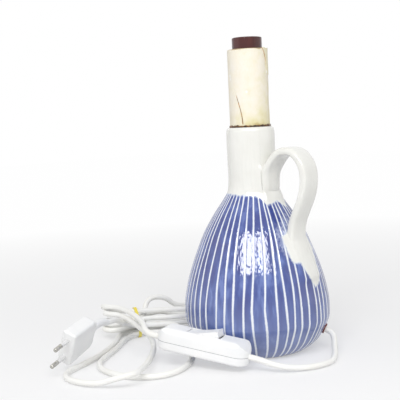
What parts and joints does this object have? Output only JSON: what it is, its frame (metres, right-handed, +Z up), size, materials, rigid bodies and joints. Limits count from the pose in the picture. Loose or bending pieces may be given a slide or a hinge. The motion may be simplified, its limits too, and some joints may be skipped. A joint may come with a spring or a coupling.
{
  "type": "table lamp base",
  "caption": "Glazed ceramic jug made into a table lamp base, with a strap handle, a small screw-cap lampholder in the neck, and a white lead with in-line switch and flat plug.",
  "frame": {"origin": "centre of the ring that the jug stands on, on the surface below it", "axes": "+Z up along the jug's axis and the lampholder, +X towards the handle"},
  "size_m": [0.265, 0.2581, 0.2941],
  "materials": {
    "glaze": "glossy blue glaze with bare scratched lines, white at the top",
    "card": "rolled grey-brown card",
    "paper": "aged cream paper, stained",
    "tape": "aged paper tape",
    "glue": "dried brown glue",
    "bakelite": "red-brown bakelite, worn satin",
    "porcelain": "unglazed insulating ceramic",
    "brass": "plain brass",
    "steel": "zinc-plated steel",
    "bung": "black rubber",
    "bush": "reddish-brown grommet",
    "sheath": "white flexible sheath",
    "live": "brown core",
    "neutral": "blue core",
    "white_plastic": "smooth white plastic",
    "collar": "white insulating collar",
    "nickel": "nickel-plated brass",
    "tie": "yellow-orange tie"
  },
  "bodies": {
    "lamp": {"jug_body": "glaze", "jug_handle": "glaze", "cord_bush": "bush", "neck_bung": "bung", "threaded_stem": "steel", "stem_washers": "steel", "stem_nuts": "steel", "card_packing": "card", "card_sleeve": "card", "paper_wrap": "paper", "seam_tape": "tape", "glue_bead": "glue", "holder_shell": "bakelite", "holder_cap": "bakelite", "holder_set_screw": "steel", "holder_insert": "porcelain", "holder_terminal_screws": "steel", "socket_shell": "brass", "tongue_foot": "brass", "inner_lead": "sheath", "live_core": "live", "neutral_core": "neutral", "switch_base": "white_plastic", "switch_cover": "white_plastic", "rocker_pin": "steel", "fixed_contacts": "brass", "neutral_bar": "brass", "cord_clamps": "white_plastic", "switch_cord_tails": "sheath", "switch_screws": "steel", "plug_body": "white_plastic", "plug_pins": "nickel", "plug_pin_collars": "collar", "plug_strain_relief": "white_plastic", "cord_hank": "sheath", "cord_lamp_to_switch": "sheath", "cord_switch_to_hank": "sheath", "cord_hank_to_plug": "sheath", "hank_tie": "tie"},
    "rocker": {"switch_rocker": "white_plastic", "contact_bridge": "brass"},
    "tongue": {"contact_tongue": "brass"}
  },
  "joints": [
    {"name": "rocker_tilt", "type": "hinge", "parent": "lamp", "child": "rocker", "pos_m": [0.00652, -0.08291, 0.02796], "axis": [-0.3001, 0.9539, 0], "range_deg": [0, 26]},
    {"name": "tongue_flex", "type": "hinge", "parent": "lamp", "child": "tongue", "pos_m": [-0.0051, 0, 0.2686], "axis": [0, 1, 0], "range_deg": [0, 12], "stiffness_Nm_per_rad": 0.02, "springref_deg": -2.86}
  ]
}
